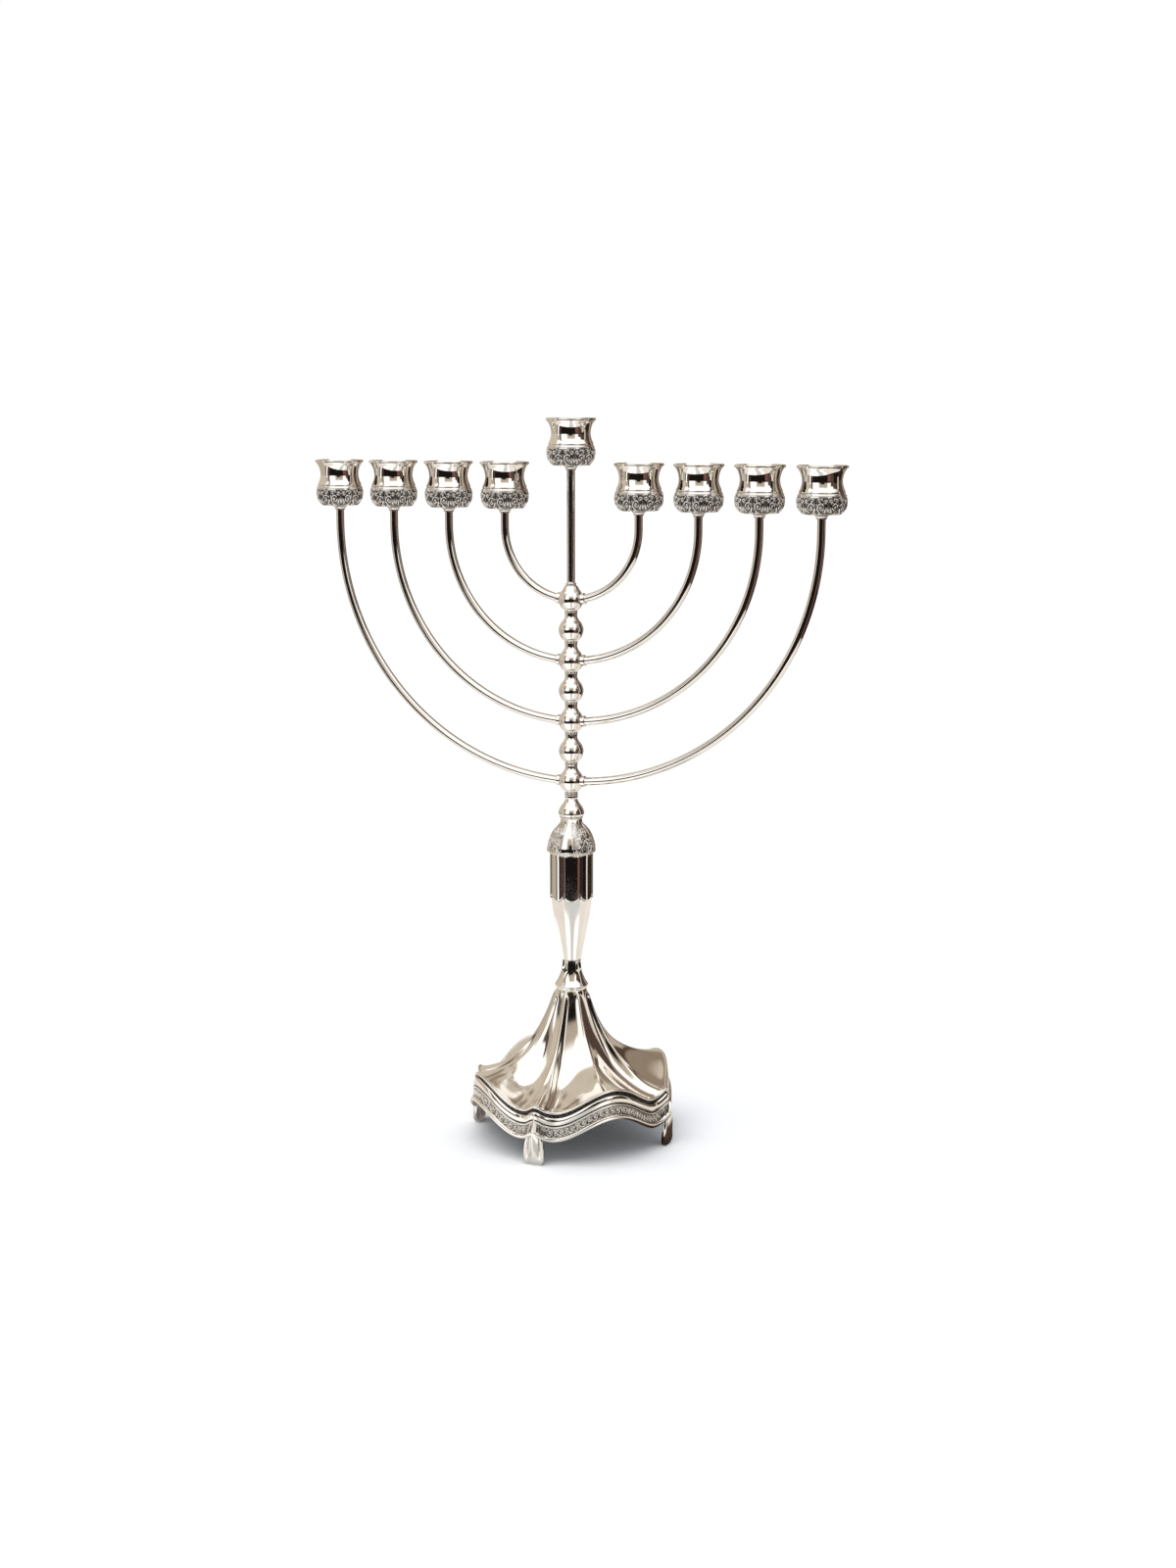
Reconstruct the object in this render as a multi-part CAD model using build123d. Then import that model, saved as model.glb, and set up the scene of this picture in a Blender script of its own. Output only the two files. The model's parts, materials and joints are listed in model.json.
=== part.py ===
"""Nine-light candelabrum: four nested pairs of curved arms and a raised middle light on a turned
stem, standing on a flared, wavy-edged base with four feet. Plated cast and turned metal.

The arms lie in the XZ plane, the four feet on the X and Y axes. The origin is on the surface that
the feet stand on, under the stem. Arm pairs are numbered from the innermost, 1, to the outermost, 4.
"""
from build123d import *
import os
from math import asin, cos, degrees, exp, hypot, pi, radians, sin

# ---- Driving dimensions, in millimetres ----
TOTAL_HEIGHT = 400.0          # rim of the middle cup above the table
ARM_RIM_HEIGHT = 376.4        # rims of the eight arm cups
ARM_CENTRE_HEIGHT = 341.3     # common centre of the four half circles
INNER_ARM_RADIUS = 38.7
ARM_PITCH = 33.4              # from one arm to the next, along the stem and sideways
ARM_PAIRS = 4
ROD_RADIUS = 2.25             # arms and the through rod
RUNNING_GAP = 0.05            # radial gap round the through rod, and between turning faces

# Cups, heights below the rim
CUP_RIM_RADIUS = 13.5
CUP_SEAM_RADIUS = 12.2
CUP_SEAM_DROP = 14.2          # where the plain cup meets the filigree bowl
CANDLE_RADIUS = 9.7
SOCKET_TOP_DROP = 7.0         # the straight wall of the candle socket runs from here
SOCKET_FLOOR_DROP = 22.0      # down to here
BOWL_RADIUS = 13.0
BOWL_BOTTOM_DROP = 25.2
FERRULE_RADIUS = 3.6
FERRULE_HEIGHT = 2.5

# Stem beads, heights from the middle of the ball
BALL_RADIUS = 6.8
BEAD_BELOW = 6.0
BEAD_ABOVE = ARM_PITCH / 2 - BEAD_BELOW - 0.9
BEAD_END_RADIUS = 3.5
SHOULDER_ABOVE = 7.5          # top of a bead that has no neck
RING_THICKNESS = 0.9
RING_RADIUS = 3.6
SOCKET_COLLAR_RADIUS = 3.1
SOCKET_COLLAR_LENGTH = 2.2
SOCKET_DEPTH_RADIUS = 5.0     # an arm ends this far from the middle of its ball
STOP_RADIUS = 2.9             # collar of the through rod that rests on the topmost bead
STOP_HEIGHT = 1.4

# Lower stem, heights above the table
COLLAR_TOP = 85.2
NECK_RING_RADIUS = 8.9
NECK_BOTTOM = 86.3
NECK_TOP = 101.2
TAPER_TOP = 137.0
DRUM_TOP = 162.6
CAP_TOP = 182.2
CAP_RING_RADIUS = 6.6
HALF_BEAD_BOTTOM = 183.1
HALF_BEAD_TOP = 194.5
LOBES = 8
LOBE_PHASE = 22.5             # a lobe is centred this many degrees round from the +X axis
DRUM_RADIUS = 12.4
DRUM_CORE_RADIUS = 10.9
LOBE_RADIUS = 4.9
LOBE_END = 140.3              # centre of the rounded lower end of a lobe

# Base casting
COLLAR_RADIUS = 8.3
WALL = 1.8
CORNER_RIM_RADIUS = 56.6
DIP_RIM_RADIUS = 52.6
DIP_RIM_HEIGHT = 28.6
ARCH_RISE = 12.6              # middle of each side above the dips beside the corners
ARCH_BULGE = 2.9              # and outside them
CREST_RISE = 4.0              # corner crest above the dips
CREST_ANGLE = 5.0             # degrees from a corner in which the crest falls away
CORNER_ANGLE = 6.0            # the same for the outward point of the rim
DIP_ANGLE = 10.0              # degrees from a corner to where the arch starts to rise
CORNER_STEEPNESS = 2.9        # how sharply the flare drops at a corner
ARCH_STEEPNESS = 4.0          # and at the middle of a side
RIDGE_HEIGHT = 1.0            # ridge on each side of a corner line
RIDGE_ANGLE = 4.5
RIDGE_SPREAD = 2.5
# apron below the rim: lip, cove, plain band, recessed filigree band, lower moulding
APRON_OUTLINE = [(0.7, -0.8), (0.7, -1.6), (0.0, -2.6), (0.3, -3.6), (1.8, -8.6), (1.4, -9.2),
                 (2.2, -13.2), (2.9, -13.4), (3.3, -14.8), (3.0, -16.0), (1.2, -16.0)]
HUB_BOTTOM = 72.0
HUB_INNER_RADIUS = 9.6
FOOT_INNER_RADIUS = 55.2
FOOT_TOP = 28.5

# Fasteners under the hub
ROD_BELOW_HUB = 8.0
WASHER_RADIUS = 7.0
WASHER_THICKNESS = 1.2
NUT_RADIUS = 4.6
NUT_HEIGHT = 4.0

os.makedirs("parts", exist_ok=True)
nodes = {}


def outline(stretches):
    """Closed face in the XZ plane. Two points make a line, more make a smooth curve."""
    edges = []
    for stretch in stretches:
        edges.append(Line(*stretch) if len(stretch) == 2 else Spline(*stretch))
    first, last = stretches[0][0], stretches[-1][-1]
    if last != first:
        edges.append(Line(last, first))
    return Plane.XZ * make_face(edges)


def turned(stretches, height=0.0):
    """Solid of revolution about Z from an outline of (radius, height) stretches."""
    return Pos(0, 0, height) * revolve(outline(stretches), axis=Axis.Z)


def disc(radius, bottom, top, bore=ROD_RADIUS + RUNNING_GAP):
    """Flat ring round the through rod."""
    ring = Cylinder(radius, top - bottom) - Cylinder(bore, top - bottom)
    return Pos(0, 0, (bottom + top) / 2) * ring


# ---- Cups ----
def cup_shell():
    """Plain flared upper cup, rim at height 0, with the straight candle socket inside."""
    wall_top = -SOCKET_TOP_DROP
    seam = -CUP_SEAM_DROP
    return turned([
        [(CANDLE_RADIUS, seam), (CUP_SEAM_RADIUS, seam)],
        [(CUP_SEAM_RADIUS, seam), (11.2, -11.5), (10.6, -8.5), (11.2, -4.5), (12.9, -1.4)],
        [(12.9, -1.4), (CUP_RIM_RADIUS, -1.1)],
        [(CUP_RIM_RADIUS, -1.1), (CUP_RIM_RADIUS, -0.2)],
        [(CUP_RIM_RADIUS, -0.2), (13.3, 0.0)],
        [(13.3, 0.0), (12.4, 0.0)],
        [(12.4, 0.0), (10.6, -3.2), (CANDLE_RADIUS, wall_top)],
    ])


def cup_bowl():
    """Rounded lower bowl that carries the filigree, and the floor of the candle socket."""
    seam = -CUP_SEAM_DROP
    floor = -SOCKET_FLOOR_DROP
    bottom = -BOWL_BOTTOM_DROP
    return turned([
        [(0, bottom), (9.0, bottom)],
        [(9.0, bottom), (10.8, -24.5), (12.5, -22.0), (BOWL_RADIUS, -18.6), (12.7, -16.0),
         (CUP_SEAM_RADIUS, seam)],
        [(CUP_SEAM_RADIUS, seam), (CANDLE_RADIUS, seam)],
        [(CANDLE_RADIUS, seam), (CANDLE_RADIUS, floor)],
        [(CANDLE_RADIUS, floor), (0, floor)],
    ])


def ferrule():
    """Small stepped collar between a bowl and its rod, top at height 0."""
    lip = 0.7
    bore = ROD_RADIUS + RUNNING_GAP
    return turned([
        [(bore, -FERRULE_HEIGHT), (3.0, -FERRULE_HEIGHT)],
        [(3.0, -FERRULE_HEIGHT), (2.8, -lip - 0.9)],
        [(2.8, -lip - 0.9), (FERRULE_RADIUS, -lip)],
        [(FERRULE_RADIUS, -lip), (FERRULE_RADIUS, -0.1)],
        [(FERRULE_RADIUS, -0.1), (3.5, 0.0)],
        [(3.5, 0.0), (bore, 0.0)],
    ])


def add_cup(name, x, rim_height):
    """One light: shell, bowl and ferrule over the end of its rod."""
    nodes[f"cup_{name}"] = Pos(x, 0, rim_height) * cup_shell()
    nodes[f"bowl_{name}"] = Pos(x, 0, rim_height) * cup_bowl()
    nodes[f"ferrule_{name}"] = Pos(x, 0, rim_height - BOWL_BOTTOM_DROP) * ferrule()


# ---- Stem beads ----
def bead(neck=True, bored=True):
    """Ball with a flared neck on top, or with a short shoulder where nothing stands on it."""
    bore = ROD_RADIUS + RUNNING_GAP if bored else 0.0
    foot = -BEAD_BELOW
    ball = [(BEAD_END_RADIUS, foot), (5.6, -3.9), (BALL_RADIUS, 0.0), (5.9, 3.4)]
    if neck:
        top = BEAD_ABOVE
        shoulder = ball + [(4.5, 5.3), (3.4, 7.4), (BEAD_END_RADIUS, top)]
    else:
        top = SHOULDER_ABOVE
        shoulder = ball + [(4.4, 5.8), (BEAD_END_RADIUS, top)]
    return turned([
        [(bore, foot), (BEAD_END_RADIUS, foot)],
        shoulder,
        [(BEAD_END_RADIUS, top), (bore, top)],
    ])


def knop_height(pair):
    """Middle of the ball that carries an arm pair."""
    return ARM_CENTRE_HEIGHT - INNER_ARM_RADIUS - ARM_PITCH * (pair - 1)


def arm(pair):
    """Right-hand quarter circle with its socket collar, and the short upright under the cup."""
    radius = INNER_ARM_RADIUS + ARM_PITCH * (pair - 1)
    start = degrees(asin(SOCKET_DEPTH_RADIUS / radius))
    rod_end = ARM_RIM_HEIGHT - BOWL_BOTTOM_DROP
    centre = Vector(0, 0, ARM_CENTRE_HEIGHT)
    bend = Plane.XZ * CenterArc((0, ARM_CENTRE_HEIGHT), radius, -90 + start, 90 - start)
    upright = Line((radius, 0, ARM_CENTRE_HEIGHT), (radius, 0, rod_end))
    path = Wire([bend.edge(), upright.edge()])
    section = Plane(bend @ 0, z_dir=bend % 0) * Circle(ROD_RADIUS)
    rod = sweep(section, path=path)

    clear_of_ball = 0.5
    collar_angle = asin((BALL_RADIUS + clear_of_ball) / radius) - pi / 2
    collar_place = centre + Vector(radius * cos(collar_angle), 0, radius * sin(collar_angle))
    along = Vector(-sin(collar_angle), 0, cos(collar_angle))
    collar = Plane(collar_place, z_dir=along) * Cylinder(SOCKET_COLLAR_RADIUS, SOCKET_COLLAR_LENGTH)
    ball = Pos(0, 0, knop_height(pair)) * bead(neck=pair > 1, bored=False)
    return (rod + collar) - ball


def build_arms():
    for pair in range(1, ARM_PAIRS + 1):
        radius = INNER_ARM_RADIUS + ARM_PITCH * (pair - 1)
        nodes[f"knop_{pair}"] = Pos(0, 0, knop_height(pair)) * bead(neck=pair > 1)
        right = arm(pair)
        nodes[f"arm_{pair}_right"] = right
        nodes[f"arm_{pair}_left"] = right.mirror(Plane.YZ)
        add_cup(f"{pair}_right", radius, ARM_RIM_HEIGHT)
        add_cup(f"{pair}_left", -radius, ARM_RIM_HEIGHT)


def build_upper_stem():
    """Spacer beads, the thin rings between all beads, and the middle light on the through rod."""
    rings = []
    for pair in range(1, ARM_PAIRS + 1):
        below_knop = knop_height(pair) - BEAD_BELOW
        rings.append(disc(RING_RADIUS, below_knop - RING_THICKNESS + RUNNING_GAP,
                          below_knop - RUNNING_GAP))
        if pair < ARM_PAIRS:
            spacer = knop_height(pair) - ARM_PITCH / 2
            nodes[f"spacer_bead_{pair}"] = Pos(0, 0, spacer) * bead()
            below_spacer = spacer - BEAD_BELOW
            rings.append(disc(RING_RADIUS, below_spacer - RING_THICKNESS + RUNNING_GAP,
                              below_spacer))
    lowest = knop_height(ARM_PAIRS) - BEAD_BELOW - RING_THICKNESS
    rings.append(disc(RING_RADIUS + 0.1, HALF_BEAD_TOP, lowest - RUNNING_GAP))
    nodes["spacer_rings"] = Compound(children=[Part(ring.wrapped) for ring in rings])

    rod_bottom = HUB_BOTTOM - ROD_BELOW_HUB
    rod_top = TOTAL_HEIGHT - BOWL_BOTTOM_DROP
    rod = Pos(0, 0, (rod_bottom + rod_top) / 2) * Cylinder(ROD_RADIUS, rod_top - rod_bottom)
    stop_bottom = knop_height(1) + SHOULDER_ABOVE + RUNNING_GAP
    stop = Pos(0, 0, stop_bottom + STOP_HEIGHT / 2) * Cylinder(STOP_RADIUS, STOP_HEIGHT)
    nodes["through_rod"] = rod + stop
    add_cup("middle", 0.0, TOTAL_HEIGHT)


# ---- Lower stem ----
def build_lower_stem():
    bore = ROD_RADIUS + RUNNING_GAP
    nodes["half_bead"] = turned([
        [(bore, 0), (6.7, 0)],
        [(6.7, 0), (7.2, 1.6), (6.3, 4.4), (4.3, 7.3), (3.2, 9.6)],
        [(3.2, 9.6), (3.6, 10.2)],
        [(3.6, 10.2), (3.6, HALF_BEAD_TOP - HALF_BEAD_BOTTOM)],
        [(3.6, HALF_BEAD_TOP - HALF_BEAD_BOTTOM), (bore, HALF_BEAD_TOP - HALF_BEAD_BOTTOM)],
    ], HALF_BEAD_BOTTOM)
    nodes["cap_ring"] = disc(CAP_RING_RADIUS, CAP_TOP, HALF_BEAD_BOTTOM)

    cap_height = CAP_TOP - DRUM_TOP
    nodes["dome_cap"] = turned([
        [(bore, 0), (12.9, 0)],
        [(12.9, 0), (13.4, 0.8)],
        [(13.4, 0.8), (13.3, 3.7), (12.2, 7.7), (10.4, 11.6), (7.9, 14.6), (6.1, 16.6)],
        [(6.1, 16.6), (5.7, cap_height)],
        [(5.7, cap_height), (bore, cap_height)],
    ], DRUM_TOP)

    # drum of convex lobes with rounded lower ends, over a taper of eight facets
    lobe_centre = DRUM_RADIUS - LOBE_RADIUS
    drum = Pos(0, 0, (TAPER_TOP + DRUM_TOP) / 2) * Cylinder(DRUM_CORE_RADIUS, DRUM_TOP - TAPER_TOP)
    for index in range(LOBES):
        turn = Rot(0, 0, LOBE_PHASE + index * 360 / LOBES)
        reed = Pos(lobe_centre, 0, (LOBE_END + DRUM_TOP) / 2) * Cylinder(
            LOBE_RADIUS, DRUM_TOP - LOBE_END)
        reed += Pos(lobe_centre, 0, LOBE_END) * Sphere(LOBE_RADIUS)
        drum += turn * reed
    facet_radii = [(NECK_TOP, 5.7), (110.4, 6.9), (118.4, 8.2), (126.5, 10.1), (TAPER_TOP, 12.2)]
    facets = []
    for height, radius in facet_radii:
        facets.append(Pos(0, 0, height) * RegularPolygon(radius, LOBES))
    taper = loft(facets)
    through_hole = Pos(0, 0, (NECK_TOP + DRUM_TOP) / 2) * Cylinder(bore, DRUM_TOP - NECK_TOP)
    nodes["baluster"] = (drum + taper) - through_hole

    neck_height = NECK_TOP - NECK_BOTTOM
    nodes["neck_flare"] = turned([
        [(bore, 0), (8.9, 0)],
        [(8.9, 0), (9.3, 0.9)],
        [(9.3, 0.9), (7.3, 4.2), (6.1, 8.0), (5.45, 12.0), (5.2, neck_height)],
        [(5.2, neck_height), (bore, neck_height)],
    ], NECK_BOTTOM)
    nodes["neck_ring"] = disc(NECK_RING_RADIUS, COLLAR_TOP, NECK_BOTTOM)


# ---- Base casting ----
def smooth(x):
    """Rises from 0 to 1 as x goes from 0 to 1, with level ends."""
    x = min(max(x, 0.0), 1.0)
    return (1 - cos(pi * x)) / 2


def from_corner(angle):
    """Degrees from the nearest corner, 0 to 45."""
    folded = angle % 90
    return min(folded, 90 - folded)


def arch(angle):
    """0 near a corner, 1 at the middle of a side."""
    return smooth((from_corner(angle) - DIP_ANGLE) / (45 - DIP_ANGLE))


def rim_radius(angle):
    corner = CORNER_RIM_RADIUS - DIP_RIM_RADIUS
    point = corner * exp(-(from_corner(angle) / CORNER_ANGLE) ** 2)
    return DIP_RIM_RADIUS + ARCH_BULGE * arch(angle) + point


def rim_height(angle):
    crest = CREST_RISE * exp(-(from_corner(angle) / CREST_ANGLE) ** 2)
    return DIP_RIM_HEIGHT + ARCH_RISE * arch(angle) + crest


def flare_point(angle, share):
    """Upper surface: share runs from 0 at the collar to 1 at the rim."""
    radius = COLLAR_RADIUS + (rim_radius(angle) - COLLAR_RADIUS) * share
    steepness = CORNER_STEEPNESS + (ARCH_STEEPNESS - CORNER_STEEPNESS) * arch(angle)
    fall = exp(-steepness * share) - share * exp(-steepness)
    from_ridge = from_corner(angle) - RIDGE_ANGLE
    ridge = RIDGE_HEIGHT * exp(-(from_ridge / RIDGE_SPREAD) ** 2) * sin(pi * min(share, 1.0))
    height = rim_height(angle) + (COLLAR_TOP - rim_height(angle)) * fall + ridge
    return radius, height


def under_point(angle, share):
    """Inner surface, one wall thickness under the flare."""
    step = 0.01
    r0, z0 = flare_point(angle, share - step)
    r1, z1 = flare_point(angle, share + step)
    length = hypot(r1 - r0, z1 - z0)
    r, z = flare_point(angle, share)
    return r + WALL * (z1 - z0) / length, z - WALL * (r1 - r0) / length


def casting_section(angle):
    """Closed section of the casting in the half plane at this angle round the stem."""
    rim_r, rim_z = rim_radius(angle), rim_height(angle)
    bore = ROD_RADIUS + RUNNING_GAP
    flare = [flare_point(angle, share) for share in (0, 0.05, 0.13, 0.24, 0.4, 0.6, 0.8, 1.0)]
    under = [under_point(angle, share) for share in (0.94, 0.78, 0.58, 0.38, 0.22, 0.12)]
    apron = [(rim_r + out, rim_z + up) for out, up in APRON_OUTLINE]
    inner_top = (HUB_INNER_RADIUS, HUB_BOTTOM)
    corners = [flare[-1]] + apron + [under[0]]
    edges = [Spline(*flare)]
    edges += [Line(a, b) for a, b in zip(corners, corners[1:])]
    edges.append(Spline(*under))
    closing = [under[-1], inner_top, (bore, HUB_BOTTOM), (bore, COLLAR_TOP), flare[0]]
    edges += [Line(a, b) for a, b in zip(closing, closing[1:])]
    direction = (cos(radians(angle)), sin(radians(angle)), 0)
    plane = Plane((0, 0, 0), x_dir=direction, z_dir=(direction[1], -direction[0], 0))
    return plane * make_face(edges)


def base_casting():
    """Four alike quarters, each from one corner crest to the next."""
    half = [0, RIDGE_ANGLE, DIP_ANGLE, 20, 32, 45]
    angles = half + [90 - angle for angle in reversed(half[:-1])]
    quarter = loft([casting_section(angle) for angle in angles])
    whole = quarter
    for turn in (90, 180, 270):
        whole += Rot(0, 0, turn) * quarter
    return whole


def foot():
    """Corner bracket on the +X corner: a long drop, slim under the crest and broad at the table."""
    side = outline([
        [(FOOT_INNER_RADIUS, 0), (58.9, 0)],
        [(58.9, 0), (59.9, 5.0), (60.5, 12.0), (60.5, 18.0), (59.6, 24.0), (58.2, FOOT_TOP)],
        [(58.2, FOOT_TOP), (55.8, FOOT_TOP)],
        [(55.8, FOOT_TOP), (56.2, 16.0), (55.8, 8.0), (FOOT_INNER_RADIUS, 0)],
    ])
    front_right = [(4.0, 0), (5.5, 2.0), (5.8, 6.0), (5.1, 12.5), (3.6, 19.0), (1.5, FOOT_TOP)]
    front_left = [(-x, z) for x, z in reversed(front_right)]
    front_edges = [Spline(*front_right), Line(front_right[-1], front_left[0]),
                   Spline(*front_left), Line(front_left[-1], front_right[0])]
    front = Plane((70, 0, 0), x_dir=(0, 1, 0), z_dir=(1, 0, 0)) * make_face(front_edges)
    return extrude(side, 8, both=True) & extrude(front, -20)


def build_base():
    casting = base_casting()
    nodes["base_casting"] = casting
    one_foot = foot() - casting
    for index, side in enumerate(("right", "back", "left", "front")):
        nodes[f"foot_{side}"] = Rot(0, 0, 90 * index) * one_foot
    washer_bottom = HUB_BOTTOM - WASHER_THICKNESS
    nodes["rod_washer"] = disc(WASHER_RADIUS, washer_bottom, HUB_BOTTOM)
    nut = Pos(0, 0, washer_bottom - NUT_HEIGHT) * extrude(RegularPolygon(NUT_RADIUS, 6), NUT_HEIGHT)
    hole = Pos(0, 0, washer_bottom - NUT_HEIGHT / 2) * Cylinder(ROD_RADIUS + RUNNING_GAP, NUT_HEIGHT)
    nodes["rod_nut"] = nut - hole


build_base()
build_lower_stem()
build_upper_stem()
build_arms()

for name, solid in nodes.items():
    export_step(solid, f"parts/{name}.step")
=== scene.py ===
"""Finished look of the nine-light candelabrum: polished plate, filigree and cast relief round the frame.

Lengths are in millimetres until a mesh is made, and every piece is made at its own place. Angles are in
degrees round the stem from +X, the right-hand arms.
"""
import json
import bmesh
import bpy
import numpy as np
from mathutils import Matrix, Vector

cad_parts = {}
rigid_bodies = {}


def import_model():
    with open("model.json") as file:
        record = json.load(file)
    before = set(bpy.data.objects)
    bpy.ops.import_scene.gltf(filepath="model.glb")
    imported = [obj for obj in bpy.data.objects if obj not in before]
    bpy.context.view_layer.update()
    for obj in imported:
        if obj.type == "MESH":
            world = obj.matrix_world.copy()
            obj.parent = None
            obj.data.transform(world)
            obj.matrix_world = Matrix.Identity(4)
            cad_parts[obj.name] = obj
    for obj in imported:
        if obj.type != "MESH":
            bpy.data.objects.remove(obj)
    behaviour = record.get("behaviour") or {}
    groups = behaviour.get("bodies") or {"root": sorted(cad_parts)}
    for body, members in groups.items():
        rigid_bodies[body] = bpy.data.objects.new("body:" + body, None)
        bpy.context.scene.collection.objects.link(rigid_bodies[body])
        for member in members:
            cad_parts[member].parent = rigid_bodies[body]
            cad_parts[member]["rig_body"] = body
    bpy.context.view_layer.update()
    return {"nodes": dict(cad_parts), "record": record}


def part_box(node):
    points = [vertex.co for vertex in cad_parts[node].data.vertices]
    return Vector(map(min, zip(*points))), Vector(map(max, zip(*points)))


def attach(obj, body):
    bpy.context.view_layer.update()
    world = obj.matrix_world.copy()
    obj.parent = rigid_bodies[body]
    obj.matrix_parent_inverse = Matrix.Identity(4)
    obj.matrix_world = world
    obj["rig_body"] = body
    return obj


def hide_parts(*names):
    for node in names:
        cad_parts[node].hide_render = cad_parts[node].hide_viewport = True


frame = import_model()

MM = 0.001
PAIRS = (1, 2, 3, 4)
SIDES = ("left", "right")

# ---- Camera, in metres and degrees ----
VIEW_AZIMUTH = 21.0           # the camera stands this far to the right of straight in front
CAMERA_DISTANCE = 1.171
CAMERA_HEIGHT = 0.412
CAMERA_PITCH = 10.23          # below level
CAMERA_YAW = 0.45
CAMERA_LENS = 49.5
SENSOR_WIDTH = 36.0

# ---- Stem and cups ----
ROD_RADIUS = 2.25
BORE_RADIUS = 2.3
BALL_RADIUS = 6.8
BEAD_END_RADIUS = 3.5
BEAD_BELOW = 6.0              # from the middle of a ball down to the end of its bead
NECK_ABOVE = 9.8              # and up to the end of its neck
SHOULDER_ABOVE = 7.5          # or of its shoulder, where nothing stands on it
RING_RADIUS = 3.6
RING_THICKNESS = 0.8
TURNING_GAP = 0.05
STOP_RADIUS = 2.9
THREADED_LENGTH = 9.0
THREAD_PITCH = 0.8
THREAD_DEPTH = 0.16
SOCKET_DEPTH_RADIUS = 5.0     # an arm ends this far from the middle of its ball
CUP_SEAM_RADIUS = 12.2
CUP_SEAM_DROP = 14.2
CANDLE_RADIUS = 9.7
BOWL_BOTTOM_DROP = 25.2
BOWL_LOBES = 6
STEM_LOBES = 8
LOBE_PHASE = 22.5             # a lobe is centred this many degrees round from the +X axis
CAP_RING_RADIUS = 6.6
NECK_RING_RADIUS = 8.9
WASHER_RADIUS = 7.0
NUT_RADIUS = 4.6

# ---- Base ----
COLLAR_RADIUS = 8.3
WALL = 1.8
CORNER_RIM_RADIUS = 56.6
DIP_RIM_RADIUS = 52.6
DIP_RIM_HEIGHT = 28.6
ARCH_RISE = 12.6
ARCH_BULGE = 2.9
CREST_RISE = 4.0
CREST_ANGLE = 5.0             # degrees from a corner in which the crest falls away
CORNER_ANGLE = 6.0            # the same for the outward point of the rim
DIP_ANGLE = 10.0              # degrees from a corner to where the arch starts to rise
CORNER_STEEPNESS = 2.9        # how sharply the flare drops at a corner
ARCH_STEEPNESS = 4.0          # and at the middle of a side
HUB_BOTTOM = 72.0
HUB_INNER_RADIUS = 9.6


def span(node):
    """Lowest and highest corner of a CAD node at rest, in millimetres."""
    low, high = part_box(node)
    return np.array(low) / MM, np.array(high) / MM


COLLAR_TOP = span("base_casting")[1][2]


# ---- Mesh helpers ----
def smooth(x):
    """Rises from 0 to 1 as x goes from 0 to 1, with level ends."""
    return (1 - np.cos(np.pi * np.clip(x, 0.0, 1.0))) / 2


def curve_points(points, detail=6):
    """Smooth curve through the points, in `detail` steps from each to the next."""
    points = np.array(points, float)
    ends = [2 * points[0] - points[1], 2 * points[-1] - points[-2]]
    padded = np.vstack([ends[0], points, ends[1]])
    result = []
    for a, b, c, d in zip(padded, padded[1:], padded[2:], padded[3:]):
        for t in np.arange(detail) / detail:
            result.append(0.5 * (2 * b + (c - a) * t + (2 * a - 5 * b + 4 * c - d) * t ** 2
                                 + (3 * b - a - 3 * c + d) * t ** 3))
    result.append(points[-1])
    return np.array(result)


def rounded_corner(before, corner, after, fillet):
    """Points that take a corner of an outline with a small radius."""
    into, out = corner - before, after - corner
    into_length, out_length = np.linalg.norm(into), np.linalg.norm(out)
    into, out = into / into_length, out / out_length
    if np.dot(into, out) > 0.96:
        return [corner]
    cut = min(fillet, 0.4 * into_length, 0.4 * out_length)
    start, end = corner - cut * into, corner + cut * out
    points = [(1 - t) ** 2 * start + 2 * t * (1 - t) * corner + t ** 2 * end
              for t in (0.0, 0.25, 0.5, 0.75, 1.0)]
    if into_length > 6 * cut:
        points.insert(0, corner - 2.2 * cut * into)
    if out_length > 6 * cut:
        points.append(corner + 2.2 * cut * out)
    return points


def outline(stretches, fillet=0.2, closed=True, detail=6):
    """Profile from stretches: two points make a line, more a smooth curve, and corners are rounded."""
    runs = [np.array(s, float) if len(s) == 2 else curve_points(s, detail) for s in stretches]
    if closed and not np.allclose(runs[-1][-1], runs[0][0]):
        runs.append(np.array([runs[-1][-1], runs[0][0]]))
    points = [] if closed else [runs[0][0]]
    for index, run in enumerate(runs):
        points += list(run[1:-1])
        if closed or index < len(runs) - 1:
            following = runs[(index + 1) % len(runs)]
            points += rounded_corner(run[-2], run[-1], following[1], fillet)
        else:
            points.append(run[-1])
    return np.array(points)


def grid_faces(rows, columns, wrap_rows=False, wrap_columns=True):
    """Quads between neighbours in a grid of points numbered row by row."""
    row = np.arange(rows if wrap_rows else rows - 1)[:, None]
    column = np.arange(columns if wrap_columns else columns - 1)[None, :]
    below, beside = (row + 1) % rows, (column + 1) % columns
    corners = (row * columns + column, row * columns + beside,
               below * columns + beside, below * columns + column)
    return np.stack(np.broadcast_arrays(*corners), -1).reshape(-1, 4).tolist()


class Shape:
    """Points, faces and darkness, from 0 bright to 1 dark, gathered for one mesh: real patina in hollows and
    painted shade in creases and on undersides.
    """

    def __init__(self):
        self.points = []
        self.faces = []
        self.patina_and_shade = []
        self.count = 0

    def add(self, points, faces, patina_and_shade=0.0):
        points = np.asarray(points, float)
        patina_and_shade = np.broadcast_to(patina_and_shade, points.shape[:-1]).reshape(-1)
        points = points.reshape(-1, 3)
        self.points.append(points)
        self.patina_and_shade.append(patina_and_shade)
        self.faces += [[index + self.count for index in face] for face in faces]
        self.count += len(points)
        return self

    def moved(self, x, height):
        """The same shape at another place."""
        copy = Shape()
        copy.points = [points + [x, 0.0, height] for points in self.points]
        copy.faces, copy.patina_and_shade, copy.count = self.faces, self.patina_and_shade, self.count
        return copy


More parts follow.
